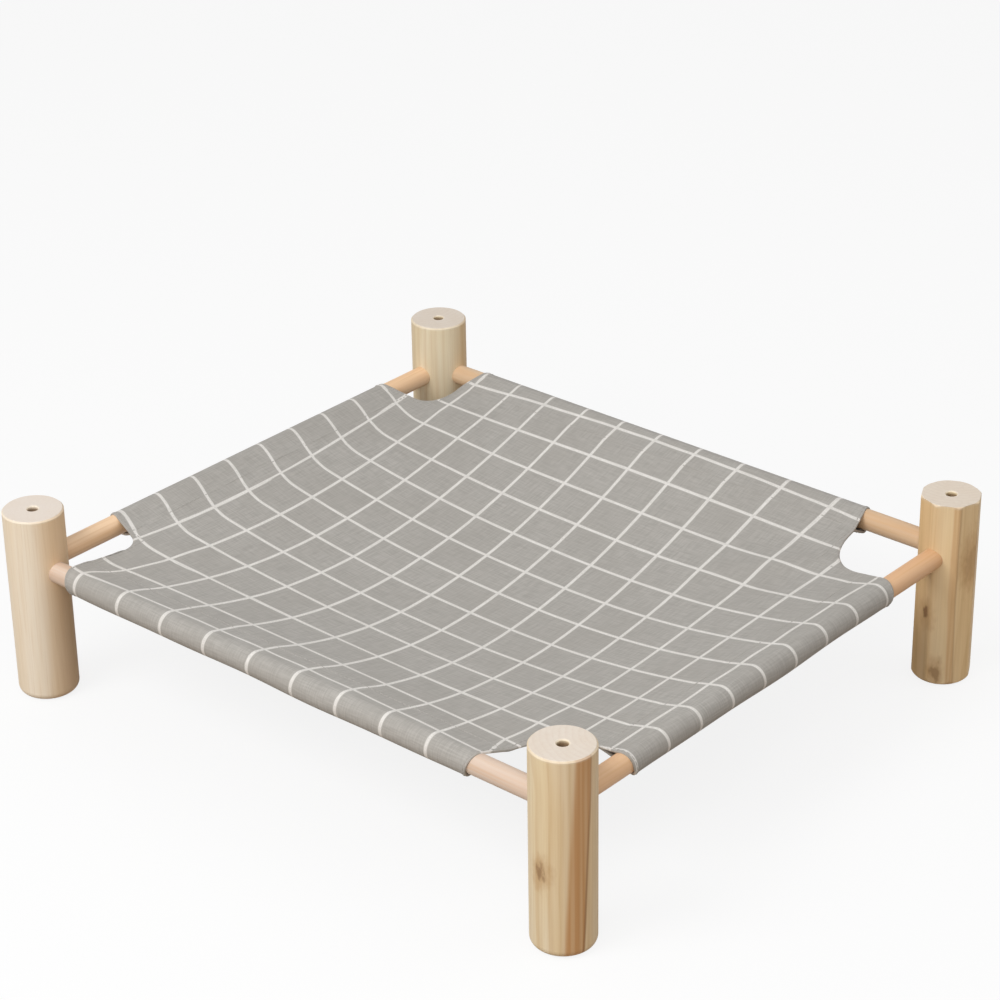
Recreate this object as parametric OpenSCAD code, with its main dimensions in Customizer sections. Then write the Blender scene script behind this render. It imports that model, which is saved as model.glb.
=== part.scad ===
// Raised pet hammock: four pine legs, four dowel rails and a sewn canvas sling.
// Millimetres, +Z up, origin on the floor below the middle of the frame.

/* [Frame] */
// Distance between the leg axes along the front and back rails
leg_spacing_x = 500; // [420:5:620]
// Distance between the leg axes along the side rails
leg_spacing_y = 440; // [380:5:560]

/* [Legs] */
// Diameter of a leg
leg_d = 45; // [42:1:56]
// Height of a leg
leg_h = 150; // [146:1:220]
// Chamfer round the top end of a leg
leg_top_chamfer = 1.2; // [0.4:0.1:3]
// Rounding round the foot of a leg
leg_foot_radius = 6; // [2:0.5:10]
// Depth of the flats hewn on the back right leg
hewn_flat_depth = 1.5; // [0.4:0.1:1.6]
// Turn of those flats about the leg's axis, in degrees
hewn_flat_turn = 4; // [0:1:45]
// Diameter of the hole in the top of a leg
top_hole_d = 8; // [4:0.5:10]
// Depth of the hole in the top of a leg
top_hole_depth = 30; // [12:1:34]
// Chamfer round the mouth of that hole
top_hole_chamfer = 0.8; // [0.4:0.1:2]

/* [Rails] */
// Diameter of a rail
rail_d = 16; // [12:0.5:18]
// Height of the rail axes above the floor
rail_z = 105; // [80:1:108]
// Depth of a rail's socket below the round of the leg
socket_depth = 12; // [8:0.5:12]
// Chamfer on both ends of a rail
rail_chamfer = 1; // [0.4:0.1:2]

/* [Sling] */
// Thickness of the canvas
canvas_t = 1.2; // [0.8:0.1:2]
// Distance from a rail's axis in to the seam of its sleeve
seam_inset = 24; // [20:1:32]
// Height of the seams above the rail axes
seam_rise = 2.5; // [0:0.5:5]
// Drop from the seams to the lowest point of the sling
sag = 31; // [5:1:50]
// Gap from the front left leg to the front sleeve
front_sleeve_gap_left = 18; // [5:1:60]
// Gap from the front right leg to the front sleeve
front_sleeve_gap_right = 52; // [5:1:70]
// Gap from the front right leg to the right sleeve
right_sleeve_gap_front = 38; // [5:1:70]
// Gap from the back right leg to the right sleeve
right_sleeve_gap_back = 62; // [5:1:70]
// Gap from the back right leg to the back sleeve
back_sleeve_gap_right = 54; // [5:1:70]
// Gap from the back left leg to the back sleeve
back_sleeve_gap_left = 30; // [5:1:60]
// Gap from the back left leg to the left sleeve
left_sleeve_gap_back = 48; // [5:1:70]
// Gap from the front left leg to the left sleeve
left_sleeve_gap_front = 58; // [5:1:70]
// How much further a sleeve reaches at its seam than at its rail, at most ends
sleeve_flare = 10; // [0:1:15]
// The same at the front end of the right sleeve, which is cut square
front_end_flare = 0; // [0:1:15]
// Rounding of the inner corner of each cut-out
notch_radius = 42; // [5:1:60]

/* [Stitching] */
// Distance between one stitch and the next
stitch_pitch = 6; // [4:0.5:12]
// Length of one stitch
stitch_len = 4; // [2:0.5:6]
// Width of the thread
stitch_w = 0.8; // [0.4:0.1:1.5]
// Height of a stitch above the canvas
stitch_h = 0.5; // [0.3:0.1:1]
// Distance from the seam's edge back to the row of stitches
stitch_inset = 4; // [2:0.5:8]

/* [Hidden] */

$fn = 64;
// A side is told by its quarter turns from the front, anticlockwise from above
front_turns = 0;
right_turns = 1;
back_turns = 2;
left_turns = 3;

// Radial clearance of a rail in its socket
socket_clearance = 0.05;
// Gap between a rail's end and the floor of its socket
socket_end_gap = 0.3;
// Clearance between a rail and its sleeve
sleeve_clearance = 0.3;
// Overrun of every cut past the face that it opens
cut_over = 1;
// Number of flats on the hewn leg
hewn_flats = 8;
// How sharply the sling turns down from its seams
sag_power = 2.2;
// Share of a cut-out's shorter side that its rounding may take
notch_share = 0.9;
// Mesh steps of the sling: along a long and a short seam, a cut-out's side and rounding, and to the middle
long_seam_steps = 12;
short_seam_steps = 10;
notch_side_steps = 2;
notch_arc_steps = 4;
ring_steps = 8;
// Steps of a sleeve's wrap round its rail
wrap_steps = 26;

leg_r = leg_d / 2;
rail_r = rail_d / 2;
socket_r = rail_r + socket_clearance;
socket_floor = leg_r - socket_depth;
sleeve_inner_r = rail_r + sleeve_clearance;
sleeve_outer_r = sleeve_inner_r + canvas_t;

pine = [0.86, 0.74, 0.56];
hewn_pine = [0.80, 0.67, 0.47];
dowel_wood = [0.90, 0.70, 0.52];
canvas_grey = [0.66, 0.64, 0.61];
thread_grey = [0.74, 0.72, 0.69];

// Distance between the leg axes at the two ends of a side's rail
function rail_span(side) = side % 2 == 0 ? leg_spacing_x : leg_spacing_y;
// Distance from the middle of the frame out to a side's rail
function rail_offset(side) = rail_span(side + 1) / 2;
// Gaps at the first and the last end of each sleeve, going anticlockwise
start_gaps = [front_sleeve_gap_left, right_sleeve_gap_front, back_sleeve_gap_right, left_sleeve_gap_back];
end_gaps = [front_sleeve_gap_right, right_sleeve_gap_back, back_sleeve_gap_left, left_sleeve_gap_front];
// Flare at the first end of each sleeve; the last ends are all alike
start_flares = [sleeve_flare, front_end_flare, sleeve_flare, sleeve_flare];
function start_flare(side) = start_flares[side % 4];
function sleeve_start(side) = -rail_span(side) / 2 + leg_r + start_gaps[side % 4];
function sleeve_end(side) = rail_span(side) / 2 - leg_r - end_gaps[side % 4];
// Distance from the middle of the frame out to a side's seam
function seam_offset(side) = rail_offset(side) - seam_inset;

function turned(p, side) =
    let (c = cos(90 * side), s = sin(90 * side))
    [c * p[0] - s * p[1], s * p[0] + c * p[1]];

// Places a shape on a side's rail: its X points in, its Y up and its Z along the rail
module on_rail(side) {
    rotate([0, 0, 90 * side])
        translate([0, -rail_offset(side), rail_z])
            rotate([90, 0, 90])
                children();
}

// A leg stands at the last end of its side, so that rails meet it from -X and from +Y
module leg_place(side) {
    rotate([0, 0, 90 * side])
        translate([rail_span(side) / 2, -rail_offset(side), 0])
            children();
}

module leg_blank() {
    rotate_extrude()
        union() {
            difference() {
                square([leg_r, leg_h]);
                translate([leg_r - leg_foot_radius, 0])
                    square([leg_foot_radius, leg_foot_radius]);
                translate([leg_r, leg_h])
                    polygon([[0, 0], [-leg_top_chamfer, 0], [0, -leg_top_chamfer]]);
            }
            intersection() {
                translate([leg_r - leg_foot_radius, leg_foot_radius])
                    circle(r = leg_foot_radius);
                translate([leg_r - leg_foot_radius, 0])
                    square([leg_foot_radius, leg_foot_radius]);
            }
        }
}

module hewn_leg_blank() {
    flat_distance = leg_r - hewn_flat_depth;
    intersection() {
        leg_blank();
        rotate([0, 0, hewn_flat_turn])
            cylinder(r = flat_distance / cos(180 / hewn_flats), h = leg_h, $fn = hewn_flats);
    }
}

module top_hole() {
    hole_r = top_hole_d / 2;
    translate([0, 0, leg_h - top_hole_depth])
        cylinder(r = hole_r, h = top_hole_depth + cut_over);
    translate([0, 0, leg_h - top_hole_chamfer])
        cylinder(r1 = hole_r, r2 = hole_r + top_hole_chamfer + cut_over, h = top_hole_chamfer + cut_over);
}

module rail_socket() {
    translate([0, 0, rail_z])
        rotate([0, 90, 0])
            translate([0, 0, socket_floor])
                cylinder(r = socket_r, h = socket_depth + cut_over);
}

module leg(side, hewn = false) {
    leg_place(side)
        difference() {
            if (hewn) hewn_leg_blank(); else leg_blank();
            top_hole();
            rotate([0, 0, 90]) rail_socket();
            rotate([0, 0, 180]) rail_socket();
        }
}

module rail(side) {
    half = rail_span(side) / 2 - socket_floor - socket_end_gap;
    tip_r = rail_r - rail_chamfer;
    on_rail(side)
        rotate_extrude()
            polygon([
                [0, -half], [tip_r, -half], [rail_r, rail_chamfer - half],
                [rail_r, half - rail_chamfer], [tip_r, half], [0, half]
            ]);
}

// The sleeve's section: canvas round the rail, drawn in to a flat seam of two layers
seam_top = [seam_inset, seam_rise];
seam_bottom = [seam_inset, seam_rise - 2 * canvas_t];
function tangent_angle(p, r, up) = atan2(p[1], p[0]) + (up ? 1 : -1) * acos(r / norm(p));
upper_angle = tangent_angle(seam_top, sleeve_outer_r, true);
lower_angle = tangent_angle(seam_bottom, sleeve_outer_r, false);
function on_circle(r, angle) = r * [cos(angle), sin(angle)];
// Where the inner faces of the two layers meet: both lie sleeve_inner_r from the rail's axis
half_wrap = (upper_angle - lower_angle) / 2;
inner_tip = on_circle(sleeve_inner_r / cos(half_wrap), (upper_angle + lower_angle) / 2);

// Points round the far side of the rail, from the upper layer to the lower one
function wrap(r) = [
    for (i = [0 : wrap_steps])
        on_circle(r, upper_angle + (lower_angle + 360 - upper_angle) * i / wrap_steps)
];

module sleeve_section() {
    difference() {
        polygon(concat(wrap(sleeve_outer_r), [seam_bottom, seam_top]));
        polygon(concat(wrap(sleeve_inner_r), [inner_tip]));
    }
}

// The sleeve from above: its ends slant out from the rail's axis to the seam
module sleeve_plan(side) {
    far_x = -sleeve_outer_r - cut_over;
    near_x = seam_inset + cut_over;
    reach = near_x / seam_inset;
    polygon([
        [far_x, sleeve_start(side)],
        [0, sleeve_start(side)],
        [near_x, sleeve_start(side) - reach * start_flare(side)],
        [near_x, sleeve_end(side) + reach * sleeve_flare],
        [0, sleeve_end(side)],
        [far_x, sleeve_end(side)]
    ]);
}

module sleeve(side) {
    blank_over = max(start_flare(side), sleeve_flare) + cut_over;
    on_rail(side)
        intersection() {
            translate([0, 0, sleeve_start(side) - blank_over])
                linear_extrude(height = sleeve_end(side) - sleeve_start(side) + 2 * blank_over)
                    sleeve_section();
            rotate([90, 0, 0])
                linear_extrude(height = 4 * sleeve_outer_r, center = true)
                    sleeve_plan(side);
        }
}

// A row of stitches along the seam, on the upper layer of the sleeve
module seam_thread(side) {
    slope = upper_angle - 90;
    row = seam_top - stitch_inset * [cos(slope), sin(slope)];
    count = floor((sleeve_end(side) - sleeve_start(side)) / stitch_pitch);
    first = (sleeve_start(side) + sleeve_end(side) - count * stitch_pitch) / 2;
    on_rail(side)
        for (i = [0 : count - 1])
            translate([row[0], row[1], first + i * stitch_pitch + (stitch_pitch - stitch_len) / 2])
                rotate([0, 0, slope])
                    translate([-stitch_w / 2, 0, 0])
                        cube([stitch_w, stitch_h, stitch_len]);
}

// The sling's height falls from the seams to the middle
function sling_z(p) =
    let (u = abs(p[0]) / seam_offset(right_turns), v = abs(p[1]) / seam_offset(front_turns))
    rail_z + seam_rise - sag * (1 - pow(u, sag_power)) * (1 - pow(v, sag_power));

function between(a, b, steps) = [for (i = [0 : steps - 1]) a + (b - a) * i / steps];

// The cut-out after a side's seam, in that side's own directions: in along one sleeve's end, then out
function notch(side) =
    let (
        first = [sleeve_end(side) + sleeve_flare, -seam_offset(side)],
        last = [seam_offset(side + 1), sleeve_start(side + 1) - start_flare(side + 1)],
        corner = [first[0], last[1]],
        r = min(notch_radius, notch_share * min(corner[1] - first[1], last[0] - corner[0])),
        centre = corner + [r, -r],
        arc = [
            for (i = [0 : notch_arc_steps - 1])
                let (t = 90 * i / notch_arc_steps) centre + r * [-cos(t), sin(t)]
        ]
    )
    concat(
        between(first, corner - [0, r], notch_side_steps),
        arc,
        between(corner + [r, 0], last, notch_side_steps)
    );

function seam_steps(side) = side % 2 == 0 ? long_seam_steps : short_seam_steps;

function side_outline(side) = concat(
    between(
        [sleeve_start(side) - start_flare(side), -seam_offset(side)],
        [sleeve_end(side) + sleeve_flare, -seam_offset(side)],
        seam_steps(side)
    ),
    notch(side)
);

sling_outline = [for (side = [front_turns : left_turns]) each [for (p = side_outline(side)) turned(p, side)]];

// Rings of points shrink from the outline to the middle, once for each face of the canvas
module sling_panel() {
    count = len(sling_outline);
    face_points = [
        for (ring = [ring_steps : -1 : 1]) each [
            for (p = sling_outline) let (q = p * ring / ring_steps) [q[0], q[1], sling_z(q)]
        ]
    ];
    top = concat(face_points, [[0, 0, sling_z([0, 0])]]);
    bottom = [for (p = top) p - [0, 0, canvas_t]];
    under = len(top);
    middle = under - 1;
    inner = (ring_steps - 1) * count;
    ring_faces = [
        for (ring = [0 : ring_steps - 2]) each [
            for (i = [0 : count - 1])
                let (j = (i + 1) % count, a = ring * count, b = a + count)
                each [[a + i, b + i, b + j], [a + i, b + j, a + j]]
        ]
    ];
    middle_faces = [for (i = [0 : count - 1]) [inner + i, middle, inner + (i + 1) % count]];
    top_faces = concat(ring_faces, middle_faces);
    bottom_faces = [for (f = top_faces) [under + f[2], under + f[1], under + f[0]]];
    edge_faces = [
        for (i = [0 : count - 1])
            let (j = (i + 1) % count)
            each [[i, j, under + j], [i, under + j, under + i]]
    ];
    color(canvas_grey)
        polyhedron(concat(top, bottom), concat(top_faces, bottom_faces, edge_faces), convexity = 4);
}

module leg_front_right() { color(pine) leg(front_turns); }
module leg_back_right() { color(hewn_pine) leg(right_turns, hewn = true); }
module leg_back_left() { color(pine) leg(back_turns); }
module leg_front_left() { color(pine) leg(left_turns); }
module rail_front() { color(dowel_wood) rail(front_turns); }
module rail_right() { color(dowel_wood) rail(right_turns); }
module rail_back() { color(dowel_wood) rail(back_turns); }
module rail_left() { color(dowel_wood) rail(left_turns); }
module sleeve_front() { color(canvas_grey) sleeve(front_turns); }
module sleeve_right() { color(canvas_grey) sleeve(right_turns); }
module sleeve_back() { color(canvas_grey) sleeve(back_turns); }
module sleeve_left() { color(canvas_grey) sleeve(left_turns); }
module seam_thread_front() { color(thread_grey) seam_thread(front_turns); }
module seam_thread_right() { color(thread_grey) seam_thread(right_turns); }
module seam_thread_back() { color(thread_grey) seam_thread(back_turns); }
module seam_thread_left() { color(thread_grey) seam_thread(left_turns); }

leg_front_right();
leg_back_right();
leg_back_left();
leg_front_left();
rail_front();
rail_right();
rail_back();
rail_left();
sleeve_front();
sleeve_right();
sleeve_back();
sleeve_left();
sling_panel();
seam_thread_front();
seam_thread_right();
seam_thread_back();
seam_thread_left();
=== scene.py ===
"""A raised cat hammock: pine legs, dowel rails and a checked canvas sling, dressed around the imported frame.

Lengths are in metres, +Z up. Sizes that the frame has are read from it, and the rest are named below.
"""

import math

import bpy
import numpy as np
from mathutils import Matrix, Vector


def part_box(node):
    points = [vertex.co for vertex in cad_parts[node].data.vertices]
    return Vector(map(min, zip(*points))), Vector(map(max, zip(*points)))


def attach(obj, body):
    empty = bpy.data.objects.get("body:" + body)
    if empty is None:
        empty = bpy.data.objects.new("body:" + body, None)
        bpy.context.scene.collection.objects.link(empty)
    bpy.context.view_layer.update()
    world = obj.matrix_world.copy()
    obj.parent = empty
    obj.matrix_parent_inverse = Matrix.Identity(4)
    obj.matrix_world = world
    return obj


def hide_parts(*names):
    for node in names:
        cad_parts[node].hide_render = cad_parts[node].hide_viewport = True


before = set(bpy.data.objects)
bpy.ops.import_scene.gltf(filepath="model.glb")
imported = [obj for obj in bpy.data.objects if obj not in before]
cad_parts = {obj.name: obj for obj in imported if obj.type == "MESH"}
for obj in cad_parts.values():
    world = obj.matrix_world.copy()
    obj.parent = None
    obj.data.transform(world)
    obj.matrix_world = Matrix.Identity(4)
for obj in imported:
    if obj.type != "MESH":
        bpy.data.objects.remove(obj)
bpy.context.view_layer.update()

MM = 0.001
SIDES = ("front", "right", "back", "left")
OUTWARD = {"front": (0, -1), "right": (1, 0), "back": (0, 1), "left": (-1, 0)}
ALONG_X = ("front", "back")


# Sizes read from the frame

def node_box(node):
    low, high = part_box(node)
    return np.array(low), np.array(high)


PANEL_LOW, PANEL_HIGH = node_box("sling_panel")
RAIL_LOW, RAIL_HIGH = node_box("rail_front")
RAIL_RADIUS = (RAIL_HIGH[2] - RAIL_LOW[2]) / 2
RAIL_Z = (RAIL_HIGH[2] + RAIL_LOW[2]) / 2


def rail_offset(side):
    """How far a rail's axis lies from the middle."""
    axis = 1 if side in ALONG_X else 0
    return np.abs(node_box("rail_" + side))[:, axis].max() - RAIL_RADIUS


RAIL_OFFSET = {side: rail_offset(side) for side in SIDES}
SEAM_X = PANEL_HIGH[0]
SEAM_Y = PANEL_HIGH[1]
SEAM_Z = PANEL_HIGH[2]
SEAM_INSET = RAIL_OFFSET["right"] - SEAM_X
LEG_LOW, LEG_HIGH = node_box("leg_front_left")
LEG_RADIUS = (LEG_HIGH[0] - LEG_LOW[0]) / 2


def seam_ends(side):
    """The two ends of a sleeve at its seam, in the direction of growing x or y."""
    low, high = node_box("sleeve_" + side)
    axis = 0 if side in ALONG_X else 1
    return low[axis], high[axis]


# The right sleeve's front end is drawn in a little at its seam
FRONT_END_IN = 4 * MM

SEAM_ENDS = {side: seam_ends(side) for side in SIDES}
SEAM_ENDS["right"] = (SEAM_ENDS["right"][0] + FRONT_END_IN, SEAM_ENDS["right"][1])


# The canvas

CANVAS_T = 0.9 * MM
CAD_CANVAS_T = 1.2 * MM
SAG = PANEL_HIGH[2] - PANEL_LOW[2] - CAD_CANVAS_T
SAG_POWER = 2.2
SLEEVE_SLACK = 0.7 * MM
PLY_GAP = 0.2 * MM

# The hem of a sleeve's free edge, and the hem of the cut-outs: grid lines at shares of its width, one of
# them stitched, the share where its thickness starts to fade, and how far it stands out
LOWER_HEM = 8 * MM
HEM_WIDTH = 5 * MM
HEM_LINES = (0, 0.16, 0.45, 0.98, 1.3)
HEM_STITCH_LINE = 2
HEM_FULL_SHARE = 0.8
HEM_LIFT = 0.35 * CANVAS_T

# The grid: its step and the least number of steps, its rows from the seam round a rail to the free edge, the
# rounds that settle its plan, and how it is evened out behind the cut-outs
GRID_STEP = 6 * MM
LEAST_STEPS = 2
TAIL_ROWS = 5
ARC_ROWS = 16
UNDER_ROWS = 4
FREE_ROWS = 2
PLAN_ROUNDS = 6
EVEN_STEPS = 10
EVEN_ROUNDS = 50
EVEN_PULL = 0.5

# How far a sleeve's ends lie in from their place at the seam, at even steps round the rail and back to the
# seam. The right sleeve's front end is cut nearly square, and the back sleeve's right end shows its lower
# layer
END_STEPS = (0, 0.25, 0.5, 0.75, 1)
SLANTED = (0, 5 * MM, 10 * MM, 14 * MM, 18 * MM)
SQUARE = (0, -5.5 * MM, -3.5 * MM, 5 * MM, 0)
LONG_BELOW = (0, 5 * MM, 9 * MM, 4 * MM, 4 * MM)
END_SLANTS = {side: [SLANTED, SLANTED] for side in SIDES}
END_SLANTS["right"][0] = SQUARE
END_SLANTS["back"][1] = LONG_BELOW

# Where the edges of each cut-out would meet if they weren't rounded, and how far they are pulled there
CUT_OUTS = {
    ("front", "left"): (-200 * MM, -158 * MM),
    ("front", "right"): (187 * MM, -157 * MM),
    ("back", "right"): (185 * MM, 143 * MM),
    ("back", "left"): (-198 * MM, 158 * MM),
}
CUT_OUT_PULL = 0.55


def smooth(low, high, value):
    """Goes smoothly from 0 at low to 1 at high."""
    t = np.clip((value - low) / (high - low), 0, 1)
    return t * t * (3 - 2 * t)


def sling_height(x, y):
    """Height of the canvas's upper face inside the seams."""
    u = np.clip(np.abs(x) / SEAM_X, 0, 1)
    v = np.clip(np.abs(y) / SEAM_Y, 0, 1)
    drop = SAG * (1 - u**SAG_POWER) * (1 - v**SAG_POWER)
    return SEAM_Z - drop + tension_folds(x, y)


# Each fold runs from a cut-out towards the middle: its start, direction in degrees, height, width and length
FOLDS = (
    ((196 * MM, 158 * MM), 214, 1.6 * MM, 15 * MM, 170 * MM),
    ((200 * MM, 140 * MM), 226, -1.2 * MM, 13 * MM, 140 * MM),
    ((186 * MM, 168 * MM), 203, -1.0 * MM, 12 * MM, 150 * MM),
    ((-206 * MM, -146 * MM), 33, 1.7 * MM, 14 * MM, 180 * MM),
    ((-214 * MM, -130 * MM), 20, -1.1 * MM, 12 * MM, 140 * MM),
    ((-196 * MM, -160 * MM), 47, -1.2 * MM, 13 * MM, 150 * MM),
    ((182 * MM, -156 * MM), 141, 1.5 * MM, 15 * MM, 160 * MM),
    ((172 * MM, -166 * MM), 128, -1.0 * MM, 12 * MM, 130 * MM),
    ((-196 * MM, 158 * MM), 322, 1.5 * MM, 14 * MM, 160 * MM),
    ((-204 * MM, 146 * MM), 334, -1.1 * MM, 12 * MM, 140 * MM),
)

# A fold rises over a short run, keeps its height for a share of its length, widens by a share of its width
# and ends clear of the seams
FOLD_RISE_RUN = 20 * MM
FOLD_LEVEL_SHARE = 0.25
FOLD_SPREAD_SHARE = 1.4
FOLD_CLEAR = 30 * MM


def tension_folds(x, y):
    """Soft ridges and troughs that the pull of the corners leaves in the canvas."""
    height = np.zeros_like(x * y)
    for (start_x, start_y), degrees, rise, width, length in FOLDS:
        turn = math.radians(degrees)
        along = (x - start_x) * math.cos(turn) + (y - start_y) * math.sin(turn)
        across = (y - start_y) * math.cos(turn) - (x - start_x) * math.sin(turn)
        spread = width * (1 + FOLD_SPREAD_SHARE * np.clip(along / length, 0, 1))
        grown = smooth(-FOLD_RISE_RUN, FOLD_RISE_RUN, along)
        gone = smooth(FOLD_LEVEL_SHARE * length, length, along)
        height += rise * grown * (1 - gone) * np.exp(-((across / spread) ** 2))
    clear_x = 1 - smooth(SEAM_X - FOLD_CLEAR, SEAM_X, np.abs(x))
    clear_y = 1 - smooth(SEAM_Y - FOLD_CLEAR, SEAM_Y, np.abs(y))
    return height * clear_x * clear_y


class SleeveSection:
    """The path of the canvas from the seam over a rail, round it and back, seen along the rail.

    A point is (distance in from the rail's axis, height above it); path lengths start at the seam.
    """

    radius = RAIL_RADIUS + CANVAS_T + SLEEVE_SLACK

    def __init__(self):
        rise = SEAM_Z - RAIL_Z
        self.seam_top = np.array([SEAM_INSET, rise])
        self.drop = 2 * CANVAS_T + PLY_GAP
        self.seam_low = np.array([SEAM_INSET, rise - self.drop])
        self.middle = np.array([0.0, -SLEEVE_SLACK])
        self.upper = self.tangent(self.seam_top, 1)
        self.lower = self.tangent(self.seam_low, -1) + 2 * math.pi
        self.arc = self.radius * (self.lower - self.upper)
        self.tail = np.linalg.norm(self.seam_top - self.on_circle(self.upper))
        self.under = np.linalg.norm(self.seam_low - self.on_circle(self.lower))
        self.seam = self.tail + self.arc + self.under
        self.length = self.seam + LOWER_HEM

    def tangent(self, point, turn):
        """The angle at which a line from a point touches the circle, on one side or the other."""
        toward = point - self.middle
        return math.atan2(toward[1], toward[0]) + turn * math.acos(self.radius / np.linalg.norm(toward))

    def on_circle(self, angle):
        return self.middle + self.radius * np.array([math.cos(angle), math.sin(angle)])

    def at(self, path):
        """The point, and the outward normal, at a path length."""
        if path < self.tail:
            share = path / self.tail
            point = self.seam_top + share * (self.on_circle(self.upper) - self.seam_top)
            return point, np.array([math.cos(self.upper), math.sin(self.upper)])
        path -= self.tail
        if path < self.arc:
            angle = self.upper + path / self.radius
            return self.on_circle(angle), np.array([math.cos(angle), math.sin(angle)])
        path -= self.arc
        normal = np.array([math.cos(self.lower), math.sin(self.lower)])
        start = self.on_circle(self.lower)
        return start + (self.seam_low - start) * path / self.under, normal

    def slants(self, side, path):
        """How far a sleeve's two ends lie in from their places at the seam."""
        return [np.interp(path / self.seam, END_STEPS, slant) for slant in END_SLANTS[side]]

    def stations(self):
        """Path lengths of the mesh's rows, from the first past the seam to the free edge."""
        found = [0.0]
        stretches = (
            (self.tail, TAIL_ROWS),
            (self.arc, ARC_ROWS),
            (self.under, UNDER_ROWS),
            (LOWER_HEM, FREE_ROWS),
        )
        for length, rows in stretches:
            found += list(found[-1] + np.linspace(0, length, rows + 1)[1:])
        return found[1:]


SECTION = SleeveSection()

# The sheet laid flat, before and after its corners are cut out
SHEET_WIDTH = 2 * (SEAM_X + SECTION.length)
SHEET_LENGTH = 2 * (SEAM_Y + SECTION.length)


def cut_out_area(end, side):
    """What a cut-out takes off the flat sheet, from its corner to the middle of the slanted sleeve ends."""
    at_x = 1 if side == "right" else 0
    at_y = 1 if end == "back" else 0
    width = SHEET_WIDTH / 2 - abs(SEAM_ENDS[end][at_x]) + np.mean(END_SLANTS[end][at_x])
    length = SHEET_LENGTH / 2 - abs(SEAM_ENDS[side][at_y]) + np.mean(END_SLANTS[side][at_y])
    return width * length


SHEET_AREA = SHEET_WIDTH * SHEET_LENGTH - sum(cut_out_area(end, side) for end, side in CUT_OUTS)

# The puckers: their height, the lengths over which they and their drift turn by one radian, the shift from
# one side to the next, and where they lie and fade, as shares of the way from the seam to the rail
PUCKER = 0.35 * MM
PUCKER_RADIAN = 9 * MM
PUCKER_DRIFT = 1.3
PUCKER_DRIFT_RADIAN = 41 * MM
PUCKER_SHIFT = 2.1
PUCKER_PLACE_SHARE = 0.35
PUCKER_FADE_SHARE = 0.5

# The slack below the rail: its mean, its waves as (height, length of one radian, shift from one side to the
# next), and the shares of the way round the rail between which it grows
SLACK = 0.3 * MM
SLACK_WAVES = ((0.45 * MM, 31 * MM, 1.7), (0.3 * MM, 17 * MM, 1.0))
SLACK_SHARES = (0.35, 0.8)


def sleeve_ripple(side, along, path):
    """How far the loose sleeve stands off its smooth form: puckers along the seam, slack below the rail."""
    number = SIDES.index(side)
    drift = PUCKER_DRIFT * np.sin(along / PUCKER_DRIFT_RADIAN)
    pucker = PUCKER * np.sin(along / PUCKER_RADIAN + PUCKER_SHIFT * number + drift)
    slack = SLACK
    for height, radian, shift in SLACK_WAVES:
        slack += height * np.sin(along / radian + shift * number)
    from_pucker = (path / SECTION.tail - PUCKER_PLACE_SHARE) / PUCKER_FADE_SHARE
    round_rail = (path - SECTION.tail) / SECTION.arc
    past = 1 - smooth(SECTION.tail + SECTION.arc, SECTION.seam, path)
    return pucker * math.exp(-(from_pucker**2)) + slack * smooth(*SLACK_SHARES, round_rail) * past


def beside_rail(side, along, offset, height):
    """The point at a place along a rail, a distance out from the middle of the sling and a height."""
    x, y = OUTWARD[side]
    return np.array([x * offset + abs(y) * along, y * offset + abs(x) * along, height])


def on_sleeve(side, along, path):
    """The point on a sleeve at a place along the rail and a path length, and its outward normal."""
    if path > SECTION.seam:
        below = beside_rail(side, along, RAIL_OFFSET[side] - SEAM_INSET - (path - SECTION.seam), 0.0)
        below[2] = sling_height(below[0], below[1]) - SECTION.drop
        return below, np.array([0.0, 0.0, -1.0])
    (inward, up), (out, lift) = SECTION.at(path)
    ripple = sleeve_ripple(side, along, path)
    point = beside_rail(side, along, RAIL_OFFSET[side] - inward - out * ripple, RAIL_Z + up + lift * ripple)
    return point, beside_rail(side, 0.0, -out, lift)


def stretch(start, stop):
    """Shares from 0 to 1 of a stretch that is cut in even steps."""
    count = max(LEAST_STEPS, round((stop - start) / GRID_STEP))
    return list(np.linspace(0, 1, count + 1))


def hemmed_stretch(start, stop):
    """Shares of a stretch whose two ends have a hem."""
    length = stop - start
    ends = [line * HEM_WIDTH / length for line in HEM_LINES]
    count = max(LEAST_STEPS, round((1 - 2 * ends[-1]) * length / GRID_STEP))
    inner = list(np.linspace(ends[-1], 1 - ends[-1], count + 1))
    return ends[:-1] + inner + [1 - e for e in reversed(ends[:-1])]


# The zones that the grid's columns and rows run through
FIRST_SLEEVE, FIRST_CUT, MIDDLE, LAST_CUT, LAST_SLEEVE = range(5)


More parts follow.
